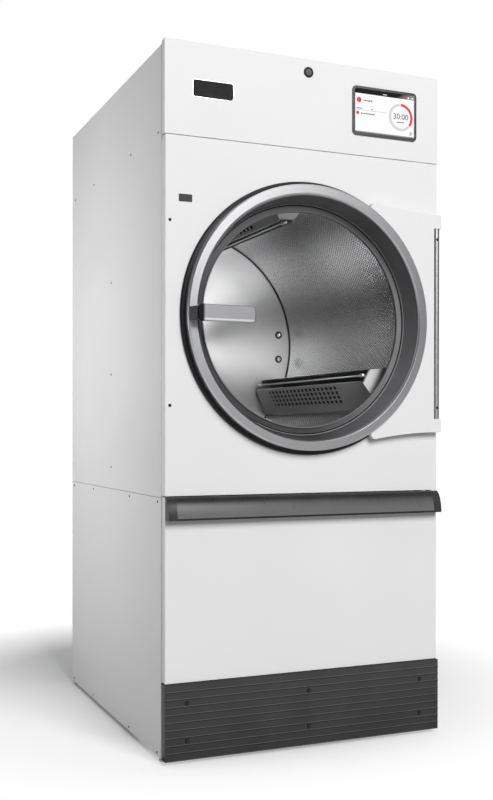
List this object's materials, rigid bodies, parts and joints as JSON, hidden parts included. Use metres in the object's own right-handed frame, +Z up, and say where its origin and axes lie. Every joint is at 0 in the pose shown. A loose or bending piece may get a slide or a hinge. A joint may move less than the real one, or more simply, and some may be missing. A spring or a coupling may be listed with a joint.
{
  "type": "tumble dryer",
  "caption": "Front-loading commercial tumble dryer with a round glazed door on a side hinge, a lint door below it and a touch-screen control panel above.",
  "frame": {"origin": "on the floor, in the middle of the machine's footprint", "axes": "+Z up from the floor, -Y towards the front with the door, +X to the user's right when facing the machine"},
  "size_m": [0.86, 1.308, 1.959],
  "materials": {
    "white_enamel": "satin powder coat",
    "charcoal_paint": "semi-matt powder coat",
    "satin_aluminium": "brushed satin",
    "black_rubber": "moulded",
    "dark_moulding": "fine grain",
    "black_plastic": "satin",
    "clear_glass": "clear, toughened",
    "display_glass": "gloss",
    "stainless": "brushed, perforated",
    "hinge_grey": "grey powder coat",
    "galvanised": "galvanised",
    "machined_steel": "machined",
    "cast_iron": "painted grey",
    "motor_enamel": "dark enamel",
    "felt": "wool felt",
    "lint_mesh": "fine mesh",
    "dark_screw": "black oxide",
    "valve_alloy": "die cast"
  },
  "bodies": {
    "cabinet": {"base_frame": "galvanised", "side_panel_left_lower": "white_enamel", "side_panel_left_upper": "white_enamel", "side_panel_right_lower": "white_enamel", "side_panel_right_upper": "white_enamel", "top_panel": "galvanised", "rear_bulkhead": "galvanised", "rear_panel_lower": "galvanised", "kick_plate": "charcoal_paint", "front_panel": "white_enamel", "panel_plug": "black_plastic", "door_hinge_post": "hinge_grey", "panel_screws": "dark_screw", "hinge_brackets": "galvanised", "drum_seal": "felt", "trunnion_housing": "cast_iron", "drum_bearings": "machined_steel", "jackshaft_bracket": "cast_iron", "drive_belts": "black_rubber", "belt_guard": "galvanised", "motor_body": "motor_enamel", "motor_mount": "galvanised", "blower_housing": "galvanised", "exhaust_duct": "galvanised", "lint_chamber": "galvanised", "lint_screen": "lint_mesh", "heater_box": "galvanised", "burner_tubes": "machined_steel", "gas_valve": "valve_alloy", "gas_pipe": "machined_steel", "control_box": "galvanised", "junction_box": "galvanised"},
    "door": {"door_ring": "satin_aluminium", "door_base_ring": "black_rubber", "door_dish": "dark_moulding", "glass_gasket": "black_rubber", "door_glass": "clear_glass", "door_wing": "white_enamel", "door_handle": "satin_aluminium"},
    "control_panel": {"control_panel": "white_enamel", "display_bezel": "black_plastic", "display_screen": "display_glass", "lock_housing": "black_plastic"},
    "lock": {"lock_cylinder": "machined_steel"},
    "lint_door": {"lint_door_panel": "white_enamel", "lint_handle": "charcoal_paint", "handle_end_caps": "black_plastic"},
    "drum": {"drum_shell": "stainless", "drum_back": "stainless", "drum_ribs": "stainless", "drum_shaft": "machined_steel", "drum_pulley": "cast_iron", "drum_bolts": "stainless"},
    "jackshaft": {"jackshaft": "machined_steel"},
    "rotor": {"motor_shaft": "machined_steel", "fan_wheel": "valve_alloy"},
    "foot_front_left": {"foot_front_left": "machined_steel"},
    "foot_front_right": {"foot_front_right": "machined_steel"},
    "foot_rear_left": {"foot_rear_left": "machined_steel"},
    "foot_rear_right": {"foot_rear_right": "machined_steel"}
  },
  "joints": [
    {"name": "door_hinge", "type": "hinge", "parent": "cabinet", "child": "door", "pos_m": [0.416, -0.59, 1.222], "axis": [0, 0, 1], "range_deg": [0, 175]},
    {"name": "control_panel_hinge", "type": "hinge", "parent": "cabinet", "child": "control_panel", "pos_m": [0, -0.57, 1.712], "axis": [1, 0, 0], "range_deg": [0, 75]},
    {"name": "lock_turn", "type": "hinge", "parent": "control_panel", "child": "lock", "pos_m": [0, -0.574, 1.9224], "axis": [0, -1, 0], "range_deg": [0, 90]},
    {"name": "lint_door_hinge", "type": "hinge", "parent": "cabinet", "child": "lint_door", "pos_m": [0, -0.57, 0.229], "axis": [1, 0, 0], "range_deg": [0, 80]},
    {"name": "drum_spin", "type": "hinge", "parent": "cabinet", "child": "drum", "pos_m": [0, 0.454, 1.222], "axis": [0, 1, 0], "continuous": true},
    {"name": "jackshaft_spin", "type": "hinge", "parent": "cabinet", "child": "jackshaft", "pos_m": [0.06, 0.454, 0.8], "axis": [0, 1, 0], "continuous": true},
    {"name": "motor_spin", "type": "hinge", "parent": "cabinet", "child": "rotor", "pos_m": [-0.15, 0, 0.52], "axis": [0, 1, 0], "continuous": true},
    {"name": "foot_front_left_screw", "type": "slide", "parent": "cabinet", "child": "foot_front_left", "axis": [0, 0, -1], "range_m": [0, 0.025]},
    {"name": "foot_front_right_screw", "type": "slide", "parent": "cabinet", "child": "foot_front_right", "axis": [0, 0, -1], "range_m": [0, 0.025]},
    {"name": "foot_rear_left_screw", "type": "slide", "parent": "cabinet", "child": "foot_rear_left", "axis": [0, 0, -1], "range_m": [0, 0.025]},
    {"name": "foot_rear_right_screw", "type": "slide", "parent": "cabinet", "child": "foot_rear_right", "axis": [0, 0, -1], "range_m": [0, 0.025]}
  ],
  "couplings": [
    {"joint": "jackshaft_spin", "follows": "drum_spin", "ratio": 8.0556},
    {"joint": "motor_spin", "follows": "drum_spin", "ratio": 37.76}
  ]
}
